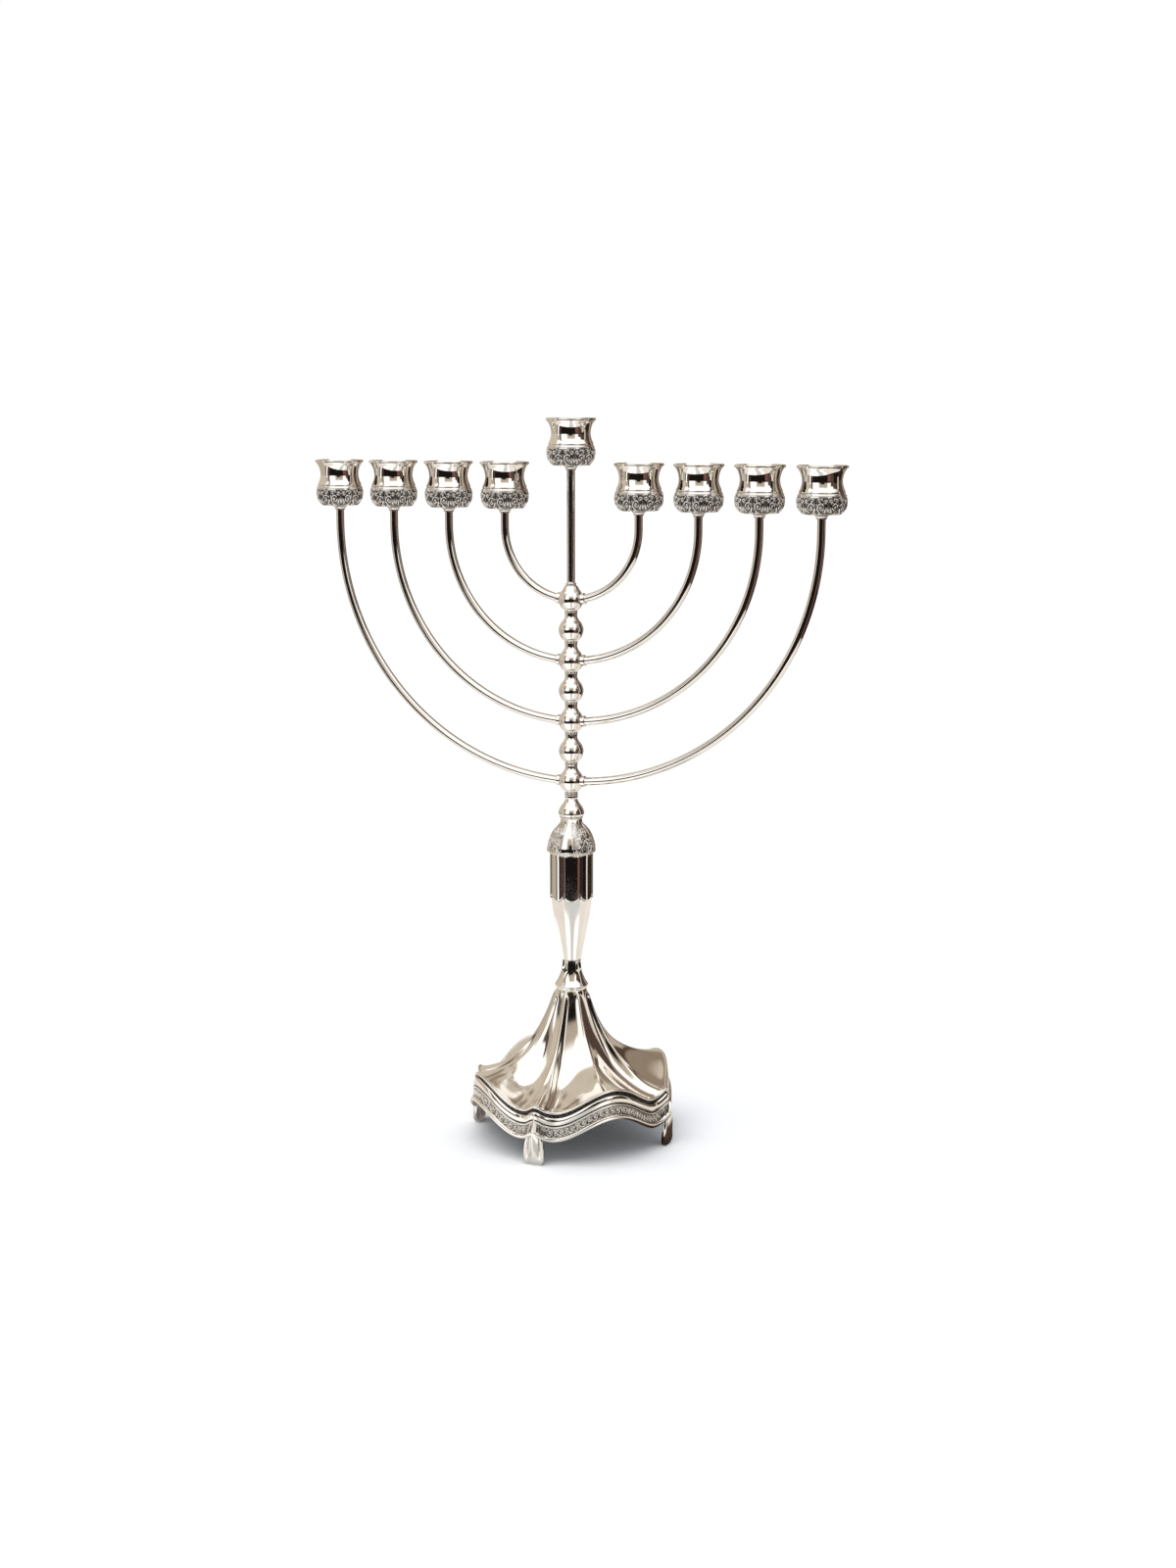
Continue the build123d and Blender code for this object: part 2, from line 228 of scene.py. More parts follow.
def lathe(shape, profile, base=0.0, segments=96, closed=True, bend=None):
    """Turned solid. bend(angle, radius, height) may change the radius and height of each point."""
    profile = np.asarray(profile)
    angle = np.arange(segments) * 360.0 / segments
    radius = np.repeat(profile[:, :1], segments, axis=1)
    height = np.repeat(profile[:, 1:], segments, axis=1)
    if bend:
        radius, height = bend(angle[None, :], radius, height)
    points = polar(angle[None, :], radius, height + base)
    return shape.add(points, grid_faces(len(profile), segments, wrap_rows=closed))


def polar(angle, radius, height):
    """Points from an angle in degrees, a radius and a height."""
    turn = np.radians(angle)
    return np.stack(np.broadcast_arrays(radius * np.cos(turn), radius * np.sin(turn), height), -1)


def along_profile(profile):
    """Function that gives (radius, height) at a distance along an open profile, and its length."""
    steps = np.linalg.norm(np.diff(profile, axis=0), axis=1)
    distance = np.concatenate([[0.0], np.cumsum(steps)])

    def point(s):
        return np.interp(s, distance, profile[:, 0]), np.interp(s, distance, profile[:, 1])
    return point, distance[-1]


def tube(shape, path, radius, segments=24):
    """Round rod along a path in the XZ plane, with flat ends."""
    path = np.asarray(path, float)
    tangent = np.gradient(path, axis=0)
    tangent /= np.linalg.norm(tangent, axis=1, keepdims=True)
    side = np.array([0.0, 1.0, 0.0])
    across = np.cross(tangent, side)
    turn = np.arange(segments) * 2 * np.pi / segments
    ring = np.cos(turn)[None, :, None] * across[:, None, :] + np.sin(turn)[None, :, None] * side
    faces = grid_faces(len(path), segments)
    last = (len(path) - 1) * segments
    faces += [list(range(segments)), list(range(last, last + segments))]
    return shape.add(path[:, None, :] + radius * ring, faces)


# ---- Relief: wires and grains laid on a curved surface(u, v) ----
WIRE_SECTION = np.radians([0, 36, 72, 108, 144, 180, 240, 300])
SUNK = 0.5                    # share of a wire's height that it goes below the surface
PROBE = 0.01


def surface_frame(surface, u, v):
    """Points and outward unit normals of a surface at (u, v)."""
    here = surface(u, v)
    along_u = surface(u + PROBE, v) - here
    along_v = surface(u, v + PROBE) - here
    normal = np.cross(along_u, along_v)
    return here, normal / np.linalg.norm(normal, axis=-1, keepdims=True)


def wire(shape, surface, path, width, height):
    """Half-round wire on a surface along a path of (u, v), drawn out thin at both ends."""
    path = np.asarray(path)
    here, normal = surface_frame(surface, path[:, 0], path[:, 1])
    along = np.gradient(here, axis=0)
    along /= np.linalg.norm(along, axis=1, keepdims=True)
    side = np.cross(normal, along)
    count = len(path)
    order = np.arange(count)
    swell = np.minimum(1.0, 0.35 + np.minimum(order, count - 1 - order) / 4)[:, None, None]
    rise = np.sin(WIRE_SECTION)
    lift = np.where(rise > 0, rise, SUNK * rise) * height
    reach = np.cos(WIRE_SECTION) * width / 2
    points = here[:, None] + swell * (reach[:, None] * side[:, None] + lift[:, None] * normal[:, None])
    faces = grid_faces(count, len(WIRE_SECTION))
    last = (count - 1) * len(WIRE_SECTION)
    faces += [list(range(len(WIRE_SECTION))), list(range(last, last + len(WIRE_SECTION)))]
    shape.add(points, faces, np.clip(0.7 - 1.2 * rise, 0.0, 1.0)[None, :])


def grain(shape, surface, u, v, radius):
    """Small round grain standing on a surface."""
    here, normal = surface_frame(surface, np.array([u]), np.array([v]))
    here, normal = here[0], normal[0]
    first = np.cross(normal, [0.0, 0.0, 1.0])
    first /= np.linalg.norm(first)
    second = np.cross(normal, first)
    turn = np.radians(np.arange(0, 360, 45))
    levels = np.radians([-40, 0, 30, 60])
    around = np.cos(turn)[:, None] * first + np.sin(turn)[:, None] * second
    points = [here + radius * (np.cos(a) * around + np.sin(a) * normal) for a in levels]
    points = np.vstack(points + [here + radius * normal])
    faces = grid_faces(len(levels), len(turn))
    top = len(levels) * len(turn)
    faces += [[top - 8 + i, top - 8 + (i + 1) % 8, top] for i in range(8)]
    faces.append(list(range(len(turn))))
    shape.add(points, faces)


def spiral(u, v, outer, inner, start, turns, detail=16):
    """Points that wind in from the outer to the inner radius round (u, v)."""
    share = np.linspace(0, 1, detail)
    angle = np.radians(start + 360 * turns * share)
    radius = outer + (inner - outer) * share ** 0.8
    return np.stack([u + radius * np.cos(angle), v + radius * np.sin(angle)], -1)


def scroll(stem, u, v, outer, inner, start, turns):
    """A stem that rolls up into a spiral."""
    roll = spiral(u, v, outer, inner, start, turns)
    return np.vstack([curve_points(list(stem) + [roll[0]], 4)[:-1], roll])


def place(path, centre, stretch, mirror):
    """Motif path moved to its centre, with its u stretched from millimetres to degrees."""
    flip = -1.0 if mirror else 1.0
    return np.stack([centre + flip * stretch * path[:, 0], path[:, 1]], -1)


# ---- Piece helpers ----
SLOTS = {part["node"]: part["material_slot"] for part in frame["record"]["subparts"]}


def add_piece(name, shape, node, replaces=()):
    """Mesh object from a shape, with the finish and the body of a CAD node."""
    mesh = bpy.data.meshes.new(name)
    mesh.from_pydata((np.vstack(shape.points) * MM).tolist(), [], shape.faces)
    patina_and_shade = mesh.attributes.new("patina_and_shade", "FLOAT", "POINT")
    patina_and_shade.data.foreach_set("value", np.concatenate(shape.patina_and_shade).astype(np.float32))
    clean = bmesh.new()
    clean.from_mesh(mesh)
    bmesh.ops.remove_doubles(clean, verts=clean.verts, dist=1e-7)
    bmesh.ops.recalc_face_normals(clean, faces=clean.faces)
    clean.to_mesh(mesh)
    clean.free()
    mesh.shade_smooth()
    mesh.materials.append(METALS[SLOTS[node]])
    obj = bpy.data.objects.new(name, mesh)
    bpy.context.scene.collection.objects.link(obj)
    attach(obj, frame["nodes"][node]["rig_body"])
    if replaces:
        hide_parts(*replaces)
    return obj


# ---- Materials ----
def add_node(tree, kind, settings=None, inputs=None):
    """New node with its settings; an input is a value or another node's output."""
    new = tree.nodes.new(kind)
    for key, value in (settings or {}).items():
        setattr(new, key, value)
    for key, value in (inputs or {}).items():
        if isinstance(value, bpy.types.NodeSocket):
            tree.links.new(value, new.inputs[key])
        else:
            new.inputs[key].default_value = value
    return new


def noise(tree, where, scale, detail=3.0):
    settings = {"noise_dimensions": "3D"}
    return add_node(tree, "ShaderNodeTexNoise", settings,
                    {"Vector": where, "Scale": scale, "Detail": detail}).outputs["Fac"]


def ramp(tree, value, from_low, from_high, to_low, to_high):
    return add_node(tree, "ShaderNodeMapRange", {"interpolation_type": "SMOOTHSTEP"},
                    {"Value": value, "From Min": from_low, "From Max": from_high,
                     "To Min": to_low, "To Max": to_high}).outputs["Result"]


def math_node(tree, operation, a, b):
    return add_node(tree, "ShaderNodeMath", {"operation": operation}, {0: a, 1: b}).outputs[0]


def mix_colour(tree, share, first, second):
    mix = add_node(tree, "ShaderNodeMix", {"data_type": "RGBA"}, {0: share})
    for index, colour in ((6, first), (7, second)):
        if isinstance(colour, bpy.types.NodeSocket):
            tree.links.new(colour, mix.inputs[index])
        else:
            mix.inputs[index].default_value = (*colour, 1.0)
    return mix.outputs[2]


def metal(name, colour, tarnish, polish, smudged, wave, grit, streak=(1.0, 1.0, 1.0)):
    """Plated metal. colour to tarnish is the drift of its tint, polish to smudged that of its
    roughness, wave the height in metres of its slow unevenness, grit that of its fine marks."""
    material = bpy.data.materials.new(name)
    material.use_nodes = True
    tree = material.node_tree
    shader = tree.nodes["Principled BSDF"]
    where = add_node(tree, "ShaderNodeTexCoord").outputs["Object"]
    stretched = add_node(tree, "ShaderNodeMapping", None, {"Vector": where, "Scale": streak})
    smudge = noise(tree, where, 85.0, 4.0)
    speckle = noise(tree, where, 1400.0)
    marks = noise(tree, stretched.outputs["Vector"], 2600.0, 2.0)

    # the darkness attribute holds real patina under the filigree and relief, and painted shade in creases,
    # in the hollows and on the backs of the feet and on the underside of the base
    raw_patina_and_shade = add_node(tree, "ShaderNodeAttribute", {"attribute_name": "patina_and_shade"}).outputs["Fac"]
    patchy = math_node(tree, "ADD", raw_patina_and_shade, ramp(tree, speckle, 0.3, 0.7, -0.16, 0.16))
    patina_and_shade = ramp(tree, patchy, 0.12, 0.9, 0.0, 1.0)
    plate = mix_colour(tree, ramp(tree, smudge, 0.35, 0.7, 0.0, 1.0), colour, tarnish)
    tree.links.new(mix_colour(tree, patina_and_shade, plate, PATINA_AND_SHADE), shader.inputs["Base Color"])

    gloss = ramp(tree, smudge, 0.38, 0.72, polish, smudged)
    gloss = math_node(tree, "ADD", gloss, ramp(tree, marks, 0.35, 0.75, 0.0, 0.4 * smudged))
    gloss = math_node(tree, "ADD", gloss, math_node(tree, "MULTIPLY", patina_and_shade, PATINA_AND_SHADE_ROUGHNESS))
    tree.links.new(gloss, shader.inputs["Roughness"])
    shader.inputs["Metallic"].default_value = 1.0

    slow = add_node(tree, "ShaderNodeBump", None,
                    {"Height": noise(tree, where, 120.0, 1.0), "Strength": 1.0, "Distance": wave})
    fine = add_node(tree, "ShaderNodeBump", None,
                    {"Height": marks, "Strength": 1.0, "Distance": grit,
                     "Normal": slow.outputs["Normal"]})
    tree.links.new(fine.outputs["Normal"], shader.inputs["Normal"])
    return material


# dark colour and added roughness for both the real patina and the painted shade
PATINA_AND_SHADE = (0.032, 0.028, 0.025)
PATINA_AND_SHADE_ROUGHNESS = 0.26
METALS = {
    "bright_plate": metal("bright_plate", (0.93, 0.905, 0.87), (0.885, 0.85, 0.80),
                          0.02, 0.07, 0.00003, 0.0000002),
    "cast_plate": metal("cast_plate", (0.92, 0.89, 0.85), (0.86, 0.82, 0.76),
                        0.03, 0.11, 0.00006, 0.0000008),
    "oxidised_filigree": metal("oxidised_filigree", (0.90, 0.88, 0.86), (0.78, 0.75, 0.72),
                               0.07, 0.18, 0.00004, 0.000002),
    "plated_steel": metal("plated_steel", (0.89, 0.87, 0.845), (0.82, 0.79, 0.76),
                          0.05, 0.14, 0.00002, 0.0000012, streak=(1.0, 1.0, 0.03)),
}


# ---- Cups ----
CUP_LIP = [
    [(CANDLE_RADIUS, -CUP_SEAM_DROP), (CUP_SEAM_RADIUS - 0.25, -CUP_SEAM_DROP)],
    [(CUP_SEAM_RADIUS - 0.25, -CUP_SEAM_DROP), (CUP_SEAM_RADIUS, -13.8), (11.95, -13.1), (11.15, -11.2),
     (10.6, -8.6), (10.85, -5.9), (11.7, -3.4), (12.75, -1.75)],
    [(12.75, -1.75), (12.85, -1.5)],
    [(12.85, -1.5), (13.3, -1.42), (13.5, -0.95), (13.45, -0.4), (13.1, -0.02)],
    [(13.1, -0.02), (12.5, 0.0)],
    [(12.5, 0.0), (11.7, -1.2), (10.6, -3.4), (CANDLE_RADIUS, -7.0)],
]
BOWL_SIDE = curve_points([(8.2, -BOWL_BOTTOM_DROP), (10.2, -24.6), (12.2, -22.3), (13.0, -18.8),
                          (12.75, -16.0), (12.25, -14.5)], 8)
bowl_point, BOWL_LENGTH = along_profile(BOWL_SIDE)
LOBE_DEPTH = 0.06             # share of the radius
FIELD_PATINA = 0.72
MOTIF_WIDTH = 13.6            # one lobe of a bowl
MOTIF_HEIGHT = 9.4
WIRE_WIDTH = 1.3              # shares of a stroke's thickness
WIRE_HEIGHT = 0.75


def bowl_surface(u, v):
    """Lobed side of a bowl, from its rim at height 0: u is the angle, v the distance up from its bottom."""
    radius, height = bowl_point(v)
    valley = (1 - np.abs(np.cos(np.radians(u * BOWL_LOBES / 2)))) ** 1.2
    reach = smooth((BOWL_LENGTH - v) / 7.0)
    return polar(u, radius * (1 - LOBE_DEPTH * valley * reach), height)


def heart_strokes():
    """Right half of a scroll motif, 13.6 wide and 9.4 high, with its foot at (0, 0)."""
    return [
        (scroll([(0.2, 0.3), (2.6, 0.5), (5.0, 1.9)], 4.0, 4.6, 2.35, 0.5, -10, 1.35), 0.62),
        (scroll([(0.25, 2.0), (0.5, 4.0), (0.4, 5.8)], 1.6, 7.1, 1.15, 0.3, 190, -1.2), 0.5),
        (scroll([(6.5, 5.0), (6.4, 6.6)], 5.1, 7.7, 1.15, 0.3, 0, 1.2), 0.46),
        (scroll([(3.6, 0.2), (4.6, 0.35)], 5.6, 1.0, 0.8, 0.25, 240, 1.2), 0.42),
        (curve_points([(1.3, 1.3), (1.9, 2.6), (1.5, 4.0), (1.2, 4.6)], 4), 0.6),
        (curve_points([(2.9, 7.6), (3.4, 8.2), (4.1, 8.9)], 4), 0.5),
    ]


HEART_GRAINS = [(0.0, 8.8, 0.42), (4.0, 4.6, 0.5), (1.65, 7.1, 0.32), (5.1, 7.7, 0.32), (5.6, 1.0, 0.26),
                (2.9, 2.0, 0.3), (2.7, 6.9, 0.26), (6.6, 3.6, 0.34), (6.7, 8.8, 0.3), (3.5, 8.9, 0.26)]


def add_motif(shape, surface, centre, low, width, height, degrees_per_mm):
    """One mirrored heart-scroll motif on a surface, scaled to a width and height."""
    across, up = width / MOTIF_WIDTH, height / MOTIF_HEIGHT
    size = np.sqrt(across * up)
    for path, thickness in heart_strokes():
        scaled = path * [across, up] + [0.0, low]
        for mirror in (False, True):
            laid = place(scaled, centre, degrees_per_mm, mirror)
            wire(shape, surface, laid[::-1] if mirror else laid, WIRE_WIDTH * thickness * size,
                 WIRE_HEIGHT * thickness * size)
    for u, v, radius in HEART_GRAINS:
        for flip in (1.0, -1.0) if u else (1.0,):
            grain(shape, surface, centre + flip * u * across * degrees_per_mm, low + v * up, radius * size)


def ring_wire(shape, surface, v, width, height, segments=144):
    """Closed wire right round a surface at a constant v."""
    angle = np.arange(segments) * 360.0 / segments
    here, normal = surface_frame(surface, angle, np.full(segments, v))
    side = surface(angle, np.full(segments, v + PROBE)) - here
    side /= np.linalg.norm(side, axis=1, keepdims=True)
    rise = np.sin(WIRE_SECTION)
    lift = np.where(rise > 0, rise, SUNK * rise) * height
    reach = np.cos(WIRE_SECTION) * width / 2
    points = here[:, None] + reach[:, None] * side[:, None] + lift[:, None] * normal[:, None]
    faces = grid_faces(segments, len(WIRE_SECTION), wrap_rows=True)
    shape.add(points, faces, np.clip(0.7 - 1.2 * rise, 0.0, 1.0)[None, :])


def bowl_skin():
    """Closed side, floor and seat of a bowl, with a dark field under the filigree."""
    segments = 144
    distance = np.linspace(0.0, BOWL_LENGTH, 40)
    angle = np.arange(segments) * 360.0 / segments
    field = FIELD_PATINA * smooth((distance - 0.8) / 0.8) * smooth((BOWL_LENGTH - 1.3 - distance) / 0.8)
    side = bowl_surface(angle[None, :], distance[:, None])
    inner = [(CUP_SEAM_RADIUS - 0.3, -CUP_SEAM_DROP), (CANDLE_RADIUS, -CUP_SEAM_DROP),
             (CANDLE_RADIUS, -22.0), (0.0, -22.0)]
    inside = [polar(angle, radius, height) for radius, height in inner]
    floor = polar(angle, 0.0, -BOWL_BOTTOM_DROP)
    rows = np.stack([floor] + list(side) + inside)
    dark = np.concatenate([[0.0], field, np.zeros(len(inside))])
    return Shape().add(rows, grid_faces(len(rows), segments), dark[:, None])


def bowl_lace():
    lace = Shape()
    for lobe in range(BOWL_LOBES):
        add_motif(lace, bowl_surface, lobe * 360.0 / BOWL_LOBES, 1.1, 13.0, BOWL_LENGTH - 2.6, 4.4)
    ring_wire(lace, bowl_surface, 0.75, 0.5, 0.3)
    ring_wire(lace, bowl_surface, BOWL_LENGTH - 1.0, 0.5, 0.32)
    return lace


def build_cups():
    """Each light has a plain flared cup, a lobed bowl with its filigree, and a ferrule under it."""
    flared = lathe(Shape(), outline(CUP_LIP))
    skin = bowl_skin()
    lace = bowl_lace()
    collar = outline([
        [(BORE_RADIUS, -2.5), (3.0, -2.5)],
        [(3.0, -2.5), (2.85, -2.1), (2.8, -1.8), (3.1, -1.2)],
        [(3.1, -1.2), (3.6, -1.0)],
        [(3.6, -1.0), (3.6, -0.1)],
        [(3.6, -0.1), (BORE_RADIUS, 0.0)],
    ], 0.15)
    ferrule = lathe(Shape(), collar, base=-BOWL_BOTTOM_DROP, segments=64)
    for name in ["middle"] + [f"{pair}_{side}" for pair in PAIRS for side in SIDES]:
        low, high = span(f"cup_{name}")
        x, rim = (low[0] + high[0]) / 2, high[2]
        for part, shape, node in (("flared_cup", flared, "cup"), ("lobed_bowl", skin, "bowl"),
                                  ("stepped_ferrule", ferrule, "ferrule")):
            add_piece(f"{part}_{name}", shape.moved(x, rim), f"{node}_{name}", [f"{node}_{name}"])
        add_piece(f"filigree_{name}", lace.moved(x, rim), f"bowl_{name}")


# ---- Arms and stem beads ----
def build_arm(pair, side):
    """Bent rod from inside its ball up to the ferrule, with the small socket collar on the ball."""
    node = f"arm_{pair}_{side}"
    low, high = span(node)
    radius = np.abs([low[0], high[0]]).max() - ROD_RADIUS
    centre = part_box(f"knop_{pair}")[0][2] / MM + BEAD_BELOW + radius
    start = np.degrees(np.arcsin(SOCKET_DEPTH_RADIUS / radius))
    turn = np.radians(np.linspace(start, 90, int(60 + radius / 2)))
    bend = np.stack([radius * np.sin(turn), 0 * turn, centre - radius * np.cos(turn)], -1)
    upright = [(radius, 0.0, centre + share * (high[2] - centre)) for share in (0.25, 0.5, 0.75, 1.0)]
    rod = tube(Shape(), np.vstack([bend, upright]), ROD_RADIUS)

    collar_angle = np.arcsin((BALL_RADIUS + 0.5) / radius)
    middle = np.array([radius * np.sin(collar_angle), 0.0, centre - radius * np.cos(collar_angle)])
    along = np.array([np.cos(collar_angle), 0.0, np.sin(collar_angle)])
    across = np.array([-along[2], 0.0, along[0]])
    ring = Shape()
    collar = outline([[(ROD_RADIUS, -1.1), (3.1, -1.1)], [(3.1, -1.1), (3.1, 0.7)],
                      [(3.1, 0.7), (2.7, 1.1)], [(2.7, 1.1), (ROD_RADIUS, 1.1)]], 0.15)
    lathe(ring, collar, segments=48)
    local = ring.points[0]
    placed = (middle + local[:, :1] * across + local[:, 1:2] * np.array([0.0, 1.0, 0.0])
              + local[:, 2:] * along)
    rod.add(placed, ring.faces)
    if side == "left":
        rod.points = [points * [-1.0, 1.0, 1.0] for points in rod.points]
    add_piece(f"bent_{node}", rod, node, [node])


def bead_profile(neck):
    """Ball with a flared neck, or with a short shoulder where nothing stands on it."""
    ball = [(BEAD_END_RADIUS, -BEAD_BELOW), (5.6, -3.9), (BALL_RADIUS, 0.0), (5.9, 3.4)]
    if neck:
        top = NECK_ABOVE
        shoulder = ball + [(4.45, 5.4), (3.4, 7.5), (BEAD_END_RADIUS, top)]
    else:
        top = SHOULDER_ABOVE
        shoulder = ball + [(4.4, 5.8), (BEAD_END_RADIUS, top)]
    return outline([
        [(BORE_RADIUS, -BEAD_BELOW), (BEAD_END_RADIUS, -BEAD_BELOW)],
        shoulder,
        [(BEAD_END_RADIUS, top), (BORE_RADIUS, top)],
    ], 0.18, detail=9)


def build_bead(node, name, neck=True):
    middle = span(node)[0][2] + BEAD_BELOW
    add_piece(name, lathe(Shape(), bead_profile(neck), base=middle), node, [node])


def ring_profile(inner, outer, bottom, top):
    return outline([[(inner, bottom), (outer, bottom)], [(outer, bottom), (outer, top)],
                    [(outer, top), (inner, top)]], 0.28)


def build_upper_stem():
    for pair in PAIRS:
        build_bead(f"knop_{pair}", f"arm_knop_{pair}", neck=pair > 1)
    for index in (1, 2, 3):
        build_bead(f"spacer_bead_{index}", f"stem_bead_{index}")
    rings = Shape()
    for upper in [f"knop_{pair}" for pair in PAIRS[:-1]] + [f"spacer_bead_{i}" for i in (1, 2, 3)]:
        top = span(upper)[0][2] - TURNING_GAP
        lathe(rings, ring_profile(BORE_RADIUS, RING_RADIUS, top - RING_THICKNESS, top), segments=64)
    last = span("knop_4")[0][2] - TURNING_GAP
    half_top = span("half_bead")[1][2]
    lathe(rings, ring_profile(BORE_RADIUS, RING_RADIUS, last - RING_THICKNESS, last), segments=64)
    lathe(rings, ring_profile(BORE_RADIUS, RING_RADIUS + 0.1, half_top, last - RING_THICKNESS - 0.1),
          segments=64)
    add_piece("thin_rings", rings, "spacer_rings", ["spacer_rings"])

    low, high = span("through_rod")
    knop_top = span("knop_1")[1][2] + TURNING_GAP

    def thread(angle, radius, height):
        up = height - low[2]
        depth = THREAD_DEPTH * smooth((THREADED_LENGTH - up) / 0.5) * smooth((up - 0.4) / 0.4)
        wave = 0.5 - 0.5 * np.cos(2 * np.pi * up / THREAD_PITCH + np.radians(angle))
        return np.where(radius > 1.5, radius - depth * wave, radius), height
    grooves = [(ROD_RADIUS, low[2] + 0.4 + 0.1 * step) for step in range(int(THREADED_LENGTH * 10))]
    profile = [(0.0, low[2]), (1.8, low[2]), (2.1, low[2] + 0.15)] + grooves
    profile += [(ROD_RADIUS, knop_top - 0.3), (ROD_RADIUS, knop_top),
                (STOP_RADIUS - 0.15, knop_top), (STOP_RADIUS, knop_top + 0.15),
                (STOP_RADIUS, knop_top + 1.25), (STOP_RADIUS - 0.15, knop_top + 1.4),
                (ROD_RADIUS + 0.1, knop_top + 1.45), (ROD_RADIUS, knop_top + 1.6),
                (ROD_RADIUS, knop_top + 2.4), (ROD_RADIUS, high[2] - 0.5), (ROD_RADIUS, high[2]),
                (0.0, high[2])]
    add_piece("polished_rod", lathe(Shape(), profile, segments=40, closed=False, bend=thread),
              "through_rod", ["through_rod"])


# ---- Lower stem ----
def flute_share(angle):
    """0 in the middle of a lobe or flute of the lower stem, 1 on the line between two."""
    half = 180.0 / STEM_LOBES
    offset = (np.asarray(angle) - LOBE_PHASE + half) % (2 * half) - half
    return np.abs(offset) / half


PETAL_TURN = -80.0            # middle of one plain petal of the cap
PETAL_RISE = 0.3
CAP_SIDE = curve_points([(12.9, 0.1), (13.4, 1.0), (13.3, 3.7), (12.2, 7.7), (10.4, 11.6), (7.9, 14.6),
                         (6.2, 16.6)], 8)
cap_point, CAP_LENGTH = along_profile(CAP_SIDE)


def petal_half_width(v):
    """Half the width of a plain petal, in millimetres, at a distance v up the side of the cap."""
    return 1.0 + 3.2 * (1 - np.clip(v / CAP_LENGTH, 0, 1)) ** 0.9


def cap_surface(u, v):
    """Side of the cap with its four raised plain petals: u is the angle, v the distance up."""
    base = span("dome_cap")[0][2]
    radius, height = cap_point(v)
    offset = np.abs((u - PETAL_TURN + 45) % 90 - 45)
    beside = petal_half_width(v) - radius * np.radians(offset)
    rise = PETAL_RISE * (smooth(beside / 0.5 + 0.5) - 1)
    lift = 0.9 * np.exp(-(offset / 9.0) ** 2) * smooth(1 - v / 3.0)
    return polar(u, radius + rise, base + height + lift)


def build_cap():
    low, high = span("dome_cap")
    segments = 240
    angle = np.arange(segments) * 360.0 / segments
    distance = np.linspace(0, CAP_LENGTH, 56)
    side = cap_surface(angle[None, :], distance[:, None])
    radius = cap_point(distance)[0][:, None]
    offset = np.abs((angle[None, :] - PETAL_TURN + 45) % 90 - 45)
    field = smooth((radius * np.radians(offset) - petal_half_width(distance)[:, None]) / 0.4)
    field = 0.4 * field * smooth((distance[:, None] - 0.9) / 0.6)
    top = [(5.9, high[2] - 0.15), (5.6, high[2]), (BORE_RADIUS, high[2]), (BORE_RADIUS, low[2]),
           (12.4, low[2])]
    rows = np.vstack([side, [polar(angle, r, z) for r, z in top]])
    dark = np.vstack([field, np.zeros((len(top), segments))])
    cap = Shape().add(rows, grid_faces(len(rows), segments, wrap_rows=True), dark)
    add_piece("petal_cap", cap, "dome_cap", ["dome_cap"])

    lace = Shape()
    for quarter in range(4):
        middle = PETAL_TURN + 45 + 90 * quarter
        add_motif(lace, cap_surface, middle, 1.2, 12.6, 8.6, 4.3)
        add_motif(lace, cap_surface, middle, 10.2, 7.6, 6.2, 5.2)
        for edge in (-1, 1):
            v = np.linspace(0.3, CAP_LENGTH - 0.4, 24)
            half = np.degrees((petal_half_width(v) + 0.1) / cap_point(v)[0])
            border = np.stack([PETAL_TURN + 90 * quarter + edge * half, v], -1)
            wire(lace, cap_surface, border if edge < 0 else border[::-1], 0.5, 0.42)
    ring_wire(lace, cap_surface, 0.8, 0.7, 0.35, 240)
    add_piece("cap_filigree", lace, "dome_cap")


LOBE_TOP_RADIUS = 12.1
LOBE_END = 136.4              # lowest point of a lobe, with its corners rounded up by LOBE_ROUND
LOBE_ROUND = 5.2


def build_baluster():
    """Drum of eight gently bowed lobes with rounded lower ends, over a taper with eight flutes."""
    low, high = span("baluster")
    segments = 384
    angle = (np.arange(segments) * 360.0 / segments)[None, :]
    share = flute_share(angle)
    lobe_end = LOBE_END + LOBE_ROUND * (1 - np.sqrt(1 - np.clip(share / 1.04, 0, 1) ** 2))
    bowed = LOBE_TOP_RADIUS * (1 + 0.018 * share ** 2) - 0.75 * smooth((share - 0.8) / 0.2)

    taper = curve_points([(5.55, 101.2), (6.5, 106.5), (8.0, 113.6), (9.4, 120.5), (10.8, 127.5),
                          (11.8, 134.0), (12.0, 137.0)], 6)
    rise = np.linspace(0, 1, 48)[:, None]
    taper_height = low[2] + rise * (lobe_end - low[2])
    taper_radius = np.interp(taper_height, taper[:, 1], taper[:, 0])
    taper_radius = taper_radius * (1 - 0.13 * (1 - share ** 2) * (1 - 0.4 * rise ** 4))
    ledge = [(-0.5, 0.02), (-0.1, 0.03), (0.0, 0.2), (0.0, 0.6)]
    ledge_radius = [bowed + out for out, up in ledge]
    ledge_height = [lobe_end + up for out, up in ledge]
    climb = np.array([0.1, 0.3, 0.5, 0.7, 0.9, 0.985])[:, None]
    drum_height = lobe_end + 0.6 + climb * (high[2] - lobe_end - 0.6)
    drum_radius = np.repeat(bowed, len(climb), axis=0)
    flat = np.ones_like(angle)
    radius = np.vstack([BORE_RADIUS * flat, taper_radius] + ledge_radius
                       + [drum_radius, bowed - 0.15, bowed - 0.5, BORE_RADIUS * flat])
    height = np.vstack([low[2] * flat, taper_height] + ledge_height
                       + [drum_height, (high[2] - 0.1) * flat, high[2] * flat, high[2] * flat])
    dark = np.zeros_like(radius)
    # painted shade: a dark ring on the ledge under the lower ends of the lobes
    dark[len(rise):len(rise) + 2] = 0.85
    body = Shape().add(polar(angle, radius, height), grid_faces(len(radius), segments, wrap_rows=True), dark)
    add_piece("lobed_drum", body, "baluster", ["baluster"])


